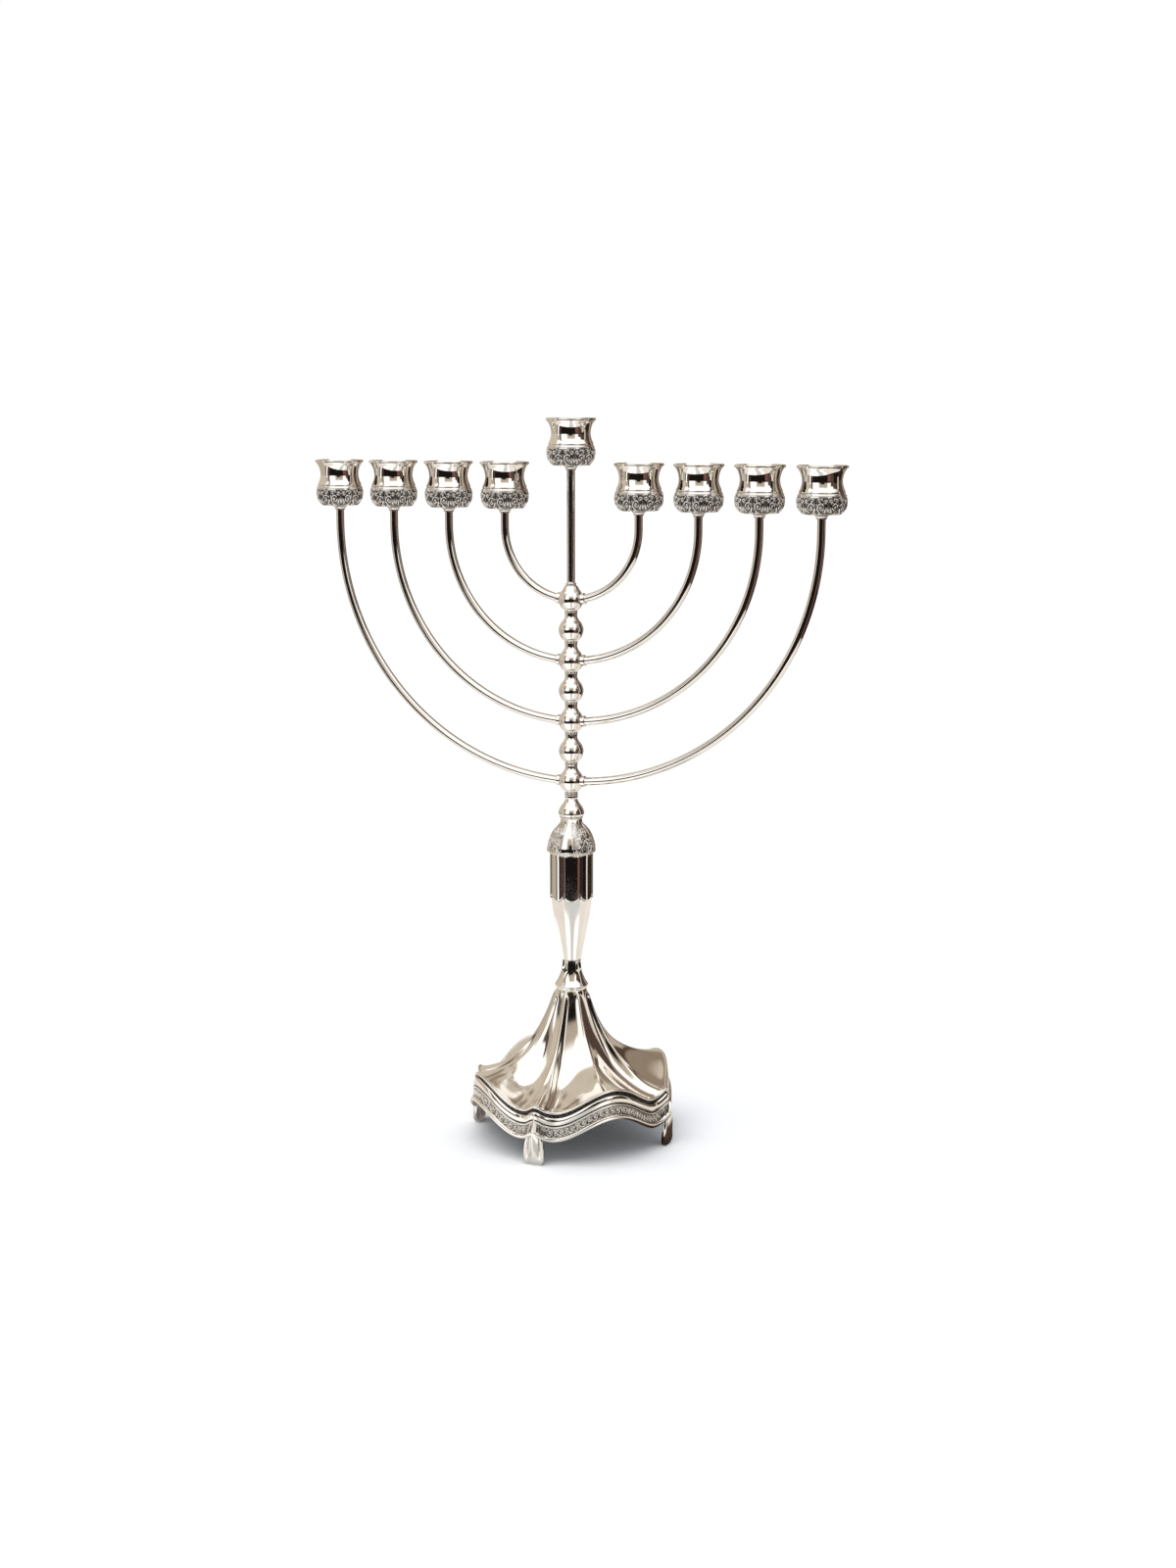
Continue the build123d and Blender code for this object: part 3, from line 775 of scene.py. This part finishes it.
def build_lower_stem():
    half_low, half_high = span("half_bead")
    end = half_high[2] - half_low[2]
    half = outline([
        [(BORE_RADIUS, 0), (6.7, 0)],
        [(6.7, 0), (7.2, 1.6), (6.3, 4.4), (4.3, 7.3), (3.2, 9.5)],
        [(3.2, 9.5), (3.6, 10.1)],
        [(3.6, 10.1), (3.6, end)],
        [(3.6, end), (BORE_RADIUS, end)],
    ], 0.2, detail=9)
    add_piece("half_bead_turned", lathe(Shape(), half, base=half_low[2]), "half_bead", ["half_bead"])
    for node, name, outer in (("cap_ring", "cap_washer", CAP_RING_RADIUS),
                              ("neck_ring", "neck_washer", NECK_RING_RADIUS)):
        low, high = span(node)
        ring = lathe(Shape(), ring_profile(BORE_RADIUS, outer, low[2], high[2]))
        add_piece(name, ring, node, [node])
    build_cap()
    build_baluster()

    low, high = span("neck_flare")
    rise = high[2] - low[2]

    def slightly_fluted(angle, radius, height):
        deep = 0.13 * (1 - flute_share(angle) ** 2) * smooth((height - 4.0) / 10.0)
        return np.where(radius > 3, radius * (1 - deep), radius), height
    neck = outline([
        [(BORE_RADIUS, 0), (8.6, 0)],
        [(8.6, 0), (9.2, 0.2), (9.3, 0.7), (9.0, 1.2)],
        [(9.0, 1.2), (7.3, 4.2), (6.15, 8.0), (5.7, 12.0), (5.5, rise)],
        [(5.5, rise), (BORE_RADIUS, rise)],
    ], 0.15, detail=9)
    add_piece("trumpet_neck", lathe(Shape(), neck, base=low[2], segments=160, bend=slightly_fluted),
              "neck_flare", ["neck_flare"])


# ---- Base ----
def from_corner(angle):
    """Degrees from the nearest corner, 0 to 45."""
    folded = np.asarray(angle) % 90
    return np.minimum(folded, 90 - folded)


def arch(angle):
    """0 near a corner, 1 at the middle of a side."""
    return smooth((from_corner(angle) - DIP_ANGLE) / (45 - DIP_ANGLE))


def rim_radius(angle):
    corner = CORNER_RIM_RADIUS - DIP_RIM_RADIUS
    point = corner * np.exp(-(from_corner(angle) / CORNER_ANGLE) ** 2)
    return DIP_RIM_RADIUS + ARCH_BULGE * arch(angle) + point


def rim_height(angle):
    crest = CREST_RISE * np.exp(-(from_corner(angle) / CREST_ANGLE) ** 2)
    return DIP_RIM_HEIGHT + ARCH_RISE * arch(angle) + crest


def plain_flare(angle, share):
    """Upper surface without its ribs: share runs from 0 at the collar to 1 at the rim."""
    radius = COLLAR_RADIUS + (rim_radius(angle) - COLLAR_RADIUS) * share
    steepness = CORNER_STEEPNESS + (ARCH_STEEPNESS - CORNER_STEEPNESS) * arch(angle)
    fall = np.exp(-steepness * share) - share * np.exp(-steepness)
    return radius, rim_height(angle) + (COLLAR_TOP - rim_height(angle)) * fall


def flare_relief(angle, share, radius):
    """Height of the ribs and flutes over the plain flare."""
    corner = from_corner(angle)
    from_line = radius * np.radians(corner)
    from_middle = radius * np.radians(45 - corner)
    spread = 4.4 * smooth((share - 0.2) / 0.75)
    ridge = 1.25 * np.exp(-((from_line - spread) / 1.15) ** 2)
    channel = -0.5 * np.exp(-(from_line / (0.55 * spread + 0.2)) ** 2) * smooth((share - 0.35) / 0.3)
    rib = 1.0 * np.exp(-(from_middle / (1.3 + 2.6 * share)) ** 2) * (1 - smooth((share - 0.45) / 0.4))
    flute = -0.95 * np.sin(np.radians(4 * corner)) ** 2 * np.sin(np.pi * np.clip(share * 1.05, 0, 1)) ** 0.6
    collar = smooth(share / 0.04)
    return (ridge + channel + rib + flute) * collar * (1 - 0.6 * smooth((share - 0.9) / 0.1))


def offset_flare(angle, share, lift):
    """Point at a height over the plain flare, square to it in the section plane."""
    step = 0.01
    r0, z0 = plain_flare(angle, share - step)
    r1, z1 = plain_flare(angle, share + step)
    length = np.hypot(r1 - r0, z1 - z0)
    radius, height = plain_flare(angle, share)
    return radius - lift * (z1 - z0) / length, height + lift * (r1 - r0) / length


def flare_point(angle, share):
    radius = plain_flare(angle, share)[0]
    return offset_flare(angle, share, flare_relief(angle, share, radius))


# the edge below the flare, as (outward, upward) from the rim
EDGE = outline([
    [(-0.6, 0.0), (-0.35, 0.35), (0.05, 0.55), (0.5, 0.42), (0.75, 0.0), (0.7, -0.6), (0.2, -1.05)],
    [(0.2, -1.05), (-0.3, -1.6), (-0.3, -2.2), (0.1, -2.65)],
    [(0.1, -2.65), (0.9, -3.1), (1.35, -4.2), (1.5, -5.4), (1.45, -6.6)],
    [(1.45, -6.6), (1.1, -7.0), (1.15, -7.4)],
    [(1.15, -7.4), (1.55, -7.6), (1.65, -8.05), (1.5, -8.5)],
    [(1.5, -8.5), (1.05, -8.8)],
    [(1.05, -8.8), (1.25, -10.8), (1.9, -13.1)],
    [(1.9, -13.1), (2.5, -13.3)],
    [(2.5, -13.3), (3.1, -13.6), (3.3, -14.5), (3.15, -15.4), (2.6, -15.95), (1.8, -16.0)],
    [(1.8, -16.0), (1.0, -14.6), (0.0, -10.5), (-1.2, -6.0)],
], 0.12, closed=False, detail=5)
FIELD_TOP = -8.85
FIELD_BOTTOM = -13.05


def edge_shade_and_patina():
    """Painted shade in the cove under the lip and in the groove under the plain band, and dark patina in the
    scroll band.
    """
    out, up = EDGE.T
    cove = 0.85 * (out > -0.5) * (out < 0.4) * (up < -0.9) * (up > -2.8)
    groove = 0.9 * (out > 1.0) * (out < 1.3) * (up < -6.7) * (up > -7.5)
    field = 0.6 * (up < FIELD_TOP + 0.2) * (up > FIELD_BOTTOM - 0.1) * (out > 0.7)
    return np.maximum(np.maximum(cove, groove), field)


def build_base():
    fine = np.arange(0, 13, 0.35)
    coarse = np.arange(13, 45, 0.8)
    eighth = np.concatenate([fine, coarse])
    quarter = np.concatenate([eighth, [45.0], 90 - eighth[:0:-1]])
    angle = np.concatenate([quarter + turn for turn in (0, 90, 180, 270)])[None, :]

    share = (np.linspace(0, 1, 72) ** 1.2 * 0.985)[:, None]
    flare = flare_point(angle, share)
    edge = (rim_radius(angle) + EDGE[:, :1], rim_height(angle) + EDGE[:, 1:])
    under_share = np.array([0.93, 0.85, 0.75, 0.64, 0.53, 0.42, 0.32, 0.22, 0.13])[:, None]
    under = offset_flare(angle, under_share, -WALL)
    hub = [(HUB_INNER_RADIUS, HUB_BOTTOM), (BORE_RADIUS, HUB_BOTTOM), (BORE_RADIUS, COLLAR_TOP),
           (COLLAR_RADIUS - 0.6, COLLAR_TOP)]
    hub = [np.repeat(np.array(column)[:, None], angle.size, axis=1) for column in zip(*hub)]
    radius = np.vstack([flare[0], edge[0], under[0], hub[0]])
    height = np.vstack([flare[1], edge[1], under[1], hub[1]])
    rows = len(radius)
    dark = np.zeros(rows)
    dark[len(share):len(share) + len(EDGE)] = edge_shade_and_patina()
    # painted shade: the inside of the skirt, the underside of the flare and the hub are painted dark
    dark[len(share) + len(EDGE) - 6:] = 0.8
    points = polar(angle, radius, height)
    base = Shape().add(points, grid_faces(rows, angle.size, wrap_rows=True), dark[:, None])
    add_piece("fluted_base", base, "base_casting", ["base_casting"])


def band_surface(u, v):
    """Sunk field of the scroll band: u is the angle, v the height over its lower edge."""
    up = FIELD_BOTTOM + v
    out = np.interp(-up, [8.8, 10.8, 13.1], [1.05, 1.25, 1.9])
    return polar(u, rim_radius(u) + out, rim_height(u) + up)


VINE_WIDTH = 5.6


def vine_cell():
    """One wave of the running scroll, 5.6 wide and 3.4 high, as (path, thickness)."""
    return [
        (scroll([(-2.8, 1.7), (-2.2, 0.6), (-1.1, 0.35)], -1.1, 1.75, 1.2, 0.25, -60, 1.3), 0.5),
        (scroll([(0.0, 1.7), (0.6, 2.8), (1.7, 3.05)], 1.7, 1.65, 1.2, 0.25, 60, -1.3), 0.5),
        (curve_points([(-2.8, 1.7), (-2.2, 0.55), (-0.9, 0.35), (0.0, 1.7), (0.6, 2.85), (1.9, 3.05),
                       (2.8, 1.7)], 4), 0.4),
        (curve_points([(0.3, 0.3), (0.9, 0.15), (1.6, 0.3)], 3), 0.45),
        (curve_points([(-2.4, 3.1), (-1.8, 3.25), (-1.2, 3.1)], 3), 0.45),
    ]


VINE_GRAINS = [(-1.1, 1.75, 0.36), (1.7, 1.65, 0.36), (-2.5, 2.7, 0.26), (0.1, 0.75, 0.26), (2.7, 0.5, 0.26)]


def build_band():
    lace = Shape()
    first, last = 6.5, 83.5
    count = 12
    pitch = (last - first) / count
    for side in range(4):
        for index in range(count):
            centre = 90 * side + first + pitch * (index + 0.5)
            for path, thickness in vine_cell():
                laid = place(path * [pitch / VINE_WIDTH, 1.2] + [0, 0.05], centre, 1.0, False)
                wire(lace, band_surface, laid, 1.15 * thickness, 0.42)
            for u, v, radius in VINE_GRAINS:
                grain(lace, band_surface, centre + u * pitch / VINE_WIDTH, 1.2 * v, 1.15 * radius)
    add_piece("band_scrollwork", lace, "base_casting")


FOOT_OUTER = np.array([(58.9, 0.0), (59.9, 5.0), (60.5, 12.0), (60.5, 18.0), (59.6, 24.0), (58.2, 28.5)])
FOOT_INNER = np.array([(55.2, 0.0), (55.8, 8.0), (56.2, 16.0), (55.8, 28.5)])
FOOT_HALF = np.array([(4.0, 0.0), (5.5, 2.0), (5.8, 6.0), (5.1, 12.5), (3.6, 19.0), (1.5, 28.5)])


def build_feet():
    """Long drop with a spine between two hollow flanks and a rolled edge, broad and round at the table."""
    height = np.concatenate([[0.0, 0.15, 0.4, 0.8, 1.5, 2.4], np.linspace(3.5, 28.5, 40)])
    outer, inner, half = (np.interp(height, *curve_points(line, 8).T[::-1])[:, None]
                          for line in (FOOT_OUTER, FOOT_INNER, FOOT_HALF))
    toe = (1.6 * (1 - np.clip(height / 2.4, 0, 1)) ** 2)[:, None]
    outer, inner = outer - 0.5 * toe, inner + 0.3 * toe
    half = half - toe * (half - 3.2) / 2.3
    across = np.sin(np.radians(np.linspace(-90, 90, 61)))[None, :]
    from_spine = np.sqrt(across ** 2 + 0.002)
    fall = 1 - (1 - np.clip(from_spine, 0, 1)) ** 1.8
    hollow = -0.55 * np.exp(-((np.abs(across) - 0.6) / 0.2) ** 2) * smooth((height[:, None] - 2.0) / 4.0)
    rolled = 0.35 * np.exp(-((np.abs(across) - 0.86) / 0.10) ** 2)
    front_edge = inner + (0.05 + 0.7 * (1 - height / 28.5)[:, None]) * (outer - inner)
    front = outer - (outer - front_edge) * fall + rolled + hollow
    back = inner + 0.25 * (1 - np.abs(across[:, ::-1]))
    radial = np.hstack([front, back])
    lateral = np.hstack([half * across, 0.96 * half * across[:, ::-1]])
    # painted shade: dark lines along the hollows of the flanks, and the back of each foot painted darker
    groove = 0.6 * np.exp(-((np.abs(across) - 0.62) / 0.12) ** 2) * smooth((height[:, None] - 4.0) / 6.0)
    dark = np.hstack([groove, 0.3 * np.ones_like(back)])
    level = np.repeat(height[:, None], radial.shape[1], axis=1)
    columns = radial.shape[1]
    faces = grid_faces(len(height), columns)
    top = (len(height) - 1) * columns
    faces += [list(range(columns)), list(range(top, top + columns))]
    for index, side in enumerate(("right", "back", "left", "front")):
        turn = np.radians(90 * index)
        out = np.array([np.cos(turn), np.sin(turn), 0.0])
        along = np.array([-np.sin(turn), np.cos(turn), 0.0])
        points = radial[..., None] * out + lateral[..., None] * along
        points[..., 2] = level
        foot = Shape().add(points, faces, dark)
        add_piece(f"leaf_foot_{side}", foot, f"foot_{side}", [f"foot_{side}"])


def build_fasteners():
    low, high = span("rod_washer")
    washer = lathe(Shape(), ring_profile(BORE_RADIUS, WASHER_RADIUS, low[2], high[2]), segments=64)
    add_piece("bottom_washer", washer, "rod_washer", ["rod_washer"])
    low, high = span("rod_nut")
    flat = NUT_RADIUS * np.cos(np.pi / 6)

    def hexagon(angle, radius, height):
        face = flat / np.cos(np.radians((angle % 60) - 30))
        return np.where(radius > 3, np.minimum(radius, face), radius), height
    nut = [(BORE_RADIUS, low[2]), (4.0, low[2]), (4.2, low[2] + 0.05), (NUT_RADIUS, low[2] + 0.35),
           (NUT_RADIUS, high[2] - 0.35), (4.2, high[2] - 0.05), (4.0, high[2]), (BORE_RADIUS, high[2])]
    add_piece("hex_nut", lathe(Shape(), nut, segments=72, bend=hexagon), "rod_nut", ["rod_nut"])


# ---- Studio ----
WHITE = (1.25, 1.24, 1.22)
CREAM = (0.92, 0.87, 0.79)
BEIGE = (0.50, 0.43, 0.345)
TAN = (0.30, 0.235, 0.18)
BROWN = (0.085, 0.055, 0.042)
BLACK = (0.010, 0.008, 0.007)
ROSE = (0.20, 0.085, 0.07)
SAND = (0.62, 0.55, 0.45)
PALE = (0.86, 0.80, 0.73)
SLATE = (0.66, 0.67, 0.66)
DARK = (0.028, 0.017, 0.014)
SURROUND_RADIUS = 3.0
# painted reflections: the cards glow and are seen only in the metal's reflections
# card: middle azimuth from the camera (to the right is positive), half width, lowest and highest
# elevation, softness in degrees, colour. A later card covers an earlier one.
CARDS = [
    (180, 95, 8, 86, 12, SAND),
    (130, 40, 0, 66, 14, TAN),
    (-172, 13, 46, 60, 12, TAN),
    (168, 9, 62, 76, 10, TAN),
    (-140, 9, 58, 72, 10, TAN),
    (0, 90, 38, 95, 12, WHITE),
    (105, 45, -95, 36, 6, BROWN),
    (90, 36, -95, 0, 4, DARK),
    (0, 88, -95, 12, 4, BLACK),
    (-42, 20, 11, 60, 4, WHITE),
    (42, 17, 13, 60, 4, WHITE),
    (34, 11, -30, 4, 4, ROSE),
    (-2, 11, 12, 24, 5, BLACK),
    (0, 26, -50, 13, 4, BLACK),
    (52, 9, -30, 30, 5, BROWN),
    (-63, 4, -30, 45, 2, BROWN),
    (90, 3, -12, 34, 2, CREAM),
    (135, 5, -40, 30, 4, BEIGE),
    (-78, 4, -40, 20, 2, WHITE),
]
# painted reflections that the metal shows in the table: middle azimuth, half width, softness, reach from the
# stem in
# millimetres, colour
TABLE_STRIPS = [
    (0, 180, 1, 550, PALE),
    (-55, 18, 8, 550, WHITE),
    (-22, 11, 6, 550, WHITE),
    (24, 9, 6, 550, WHITE),
    (1, 10, 14, 550, SLATE),
    (70, 25, 10, 550, CREAM),
    (62, 24, 8, 105, BROWN),
]


def surround_colour(azimuth, elevation):
    colour = np.broadcast_to(BEIGE, (azimuth.size, 3)).copy()
    for middle, half, low, high, soft, paint in CARDS:
        beside = np.abs((azimuth - middle + 180) % 360 - 180)
        mask = smooth((half - beside) / soft + 0.5) if half < 180 else 1.0
        mask = mask * smooth((elevation - low) / soft + 0.5) * smooth((high - elevation) / soft + 0.5)
        colour += mask[:, None] * (np.array(paint) - colour)
    return colour


def emission_material(name, attribute):
    material = bpy.data.materials.new(name)
    material.use_nodes = True
    tree = material.node_tree
    tree.nodes.clear()
    paint = add_node(tree, "ShaderNodeAttribute", {"attribute_name": attribute}).outputs["Color"]
    glow = add_node(tree, "ShaderNodeEmission", None, {"Color": paint, "Strength": 1.0})
    add_node(tree, "ShaderNodeOutputMaterial", None, {"Surface": glow.outputs["Emission"]})
    material.cycles.emission_sampling = "NONE"
    return material


def add_stage(name, points, faces, material):
    mesh = bpy.data.meshes.new(name)
    mesh.from_pydata(points.reshape(-1, 3).tolist(), [], faces)
    mesh.materials.append(material)
    obj = bpy.data.objects.new(name, mesh)
    bpy.context.scene.collection.objects.link(obj)
    return obj


def only_in_reflections(obj):
    obj.visible_camera = False
    obj.visible_diffuse = False
    obj.visible_shadow = False
    obj.visible_transmission = False
    obj.visible_volume_scatter = False


def build_surround():
    """Painted reflections: glowing cards round the object that only its reflections see."""
    azimuth = np.arange(0, 360, 1.5)
    elevation = np.linspace(-90, 90, 121)
    world_angle = VIEW_AZIMUTH - 90 + azimuth
    level = np.radians(elevation)[:, None]
    points = SURROUND_RADIUS * polar(world_angle[None, :], np.cos(level), np.sin(level))
    material = emission_material("surround_cards", "paint")
    faces = grid_faces(len(elevation), len(azimuth))
    dome = add_stage("surround", points, faces, material)
    paint = dome.data.color_attributes.new("paint", "FLOAT_COLOR", "POINT")
    rows, columns = np.meshgrid(elevation, azimuth, indexing="ij")
    colour = surround_colour(columns.ravel(), rows.ravel())
    paint.data.foreach_set("color", np.hstack([colour, np.ones((len(colour), 1))]).ravel())
    only_in_reflections(dome)
    build_table_image(material)


def build_table_image(material):
    """Painted reflection of the table: a disc just over it that only reflections see, with painted shadow
    darker close to the base.
    """
    azimuth = np.arange(0, 360, 2.0)
    radius = np.array([15.0, 50.0, 62.0, 75.0, 95.0, 130.0, 200.0, 550.0])
    # painted shadow of the base, darkest next to it
    shade = np.array([0.04, 0.16, 0.52, 0.8, 0.95, 1.0, 1.0, 1.0])[:, None, None]
    colour = np.zeros((radius.size, azimuth.size, 3))
    for middle, half, soft, reach, paint in TABLE_STRIPS:
        beside = np.abs((azimuth - middle + 180) % 360 - 180)
        mask = smooth((half - beside) / soft + 0.5) if half < 180 else np.ones_like(azimuth)
        mask = mask * (radius <= reach)[:, None]
        colour += mask[..., None] * (np.array(paint) - colour)
    points = polar(VIEW_AZIMUTH - 90 + azimuth[None, :], radius[:, None] * MM, 0.0)
    disc = add_stage("table_image", points, grid_faces(len(radius), len(azimuth)), material)
    disc.location.z = 0.05 * MM
    paint = disc.data.color_attributes.new("paint", "FLOAT_COLOR", "POINT")
    painted = (shade * colour).reshape(-1, 3)
    paint.data.foreach_set("color", np.hstack([painted, np.ones((len(painted), 1))]).ravel())
    only_in_reflections(disc)


def build_floor():
    """Pale matt floor carried on far enough to meet the white background."""
    material = bpy.data.materials.new("pale_floor")
    material.use_nodes = True
    shader = material.node_tree.nodes["Principled BSDF"]
    shader.inputs["Base Color"].default_value = (0.93, 0.93, 0.93, 1.0)
    shader.inputs["Roughness"].default_value = 0.7
    shader.inputs["Specular IOR Level"].default_value = 0.1
    angle = np.arange(0, 360, 2.5)
    rings = np.stack([polar(angle, radius, 0.0) for radius in (0.0, 14.0)])
    floor = add_stage("floor", rings, grid_faces(2, len(angle)), material)
    floor.visible_glossy = False


def build_lights():
    world = bpy.data.worlds.new("studio_white")
    bpy.context.scene.world = world
    world.use_nodes = True
    tree = world.node_tree
    tree.nodes["Background"].inputs["Strength"].default_value = 1.0
    camera_ray = add_node(tree, "ShaderNodeLightPath").outputs["Is Camera Ray"]
    colour = mix_colour(tree, camera_ray, (0.70, 0.74, 0.80), (1.0, 1.0, 1.0))
    tree.links.new(colour, tree.nodes["Background"].inputs["Color"])
    data = bpy.data.lights.new("overhead_softbox", "SUN")
    data.energy = 1.6
    data.angle = np.radians(60)
    data.color = (1.0, 0.97, 0.93)
    lamp = bpy.data.objects.new("overhead_softbox", data)
    bpy.context.scene.collection.objects.link(lamp)
    lamp.rotation_euler = (np.radians(18), np.radians(-8), 0)


def build_camera():
    data = bpy.data.cameras.new("camera")
    data.lens = CAMERA_LENS
    data.sensor_width = SENSOR_WIDTH
    camera = bpy.data.objects.new("camera", data)
    bpy.context.scene.collection.objects.link(camera)
    turn = np.radians(VIEW_AZIMUTH)
    camera.location = (CAMERA_DISTANCE * np.sin(turn), -CAMERA_DISTANCE * np.cos(turn), CAMERA_HEIGHT)
    camera.rotation_euler = (np.radians(90 - CAMERA_PITCH), 0, turn - np.radians(CAMERA_YAW))
    bpy.context.scene.camera = camera


build_camera()
build_floor()
build_surround()
build_lights()
bpy.context.scene.view_settings.view_transform = "Standard"

build_base()
build_band()
build_feet()
build_fasteners()
build_lower_stem()
build_upper_stem()
for pair in PAIRS:
    for side in SIDES:
        build_arm(pair, side)
build_cups()
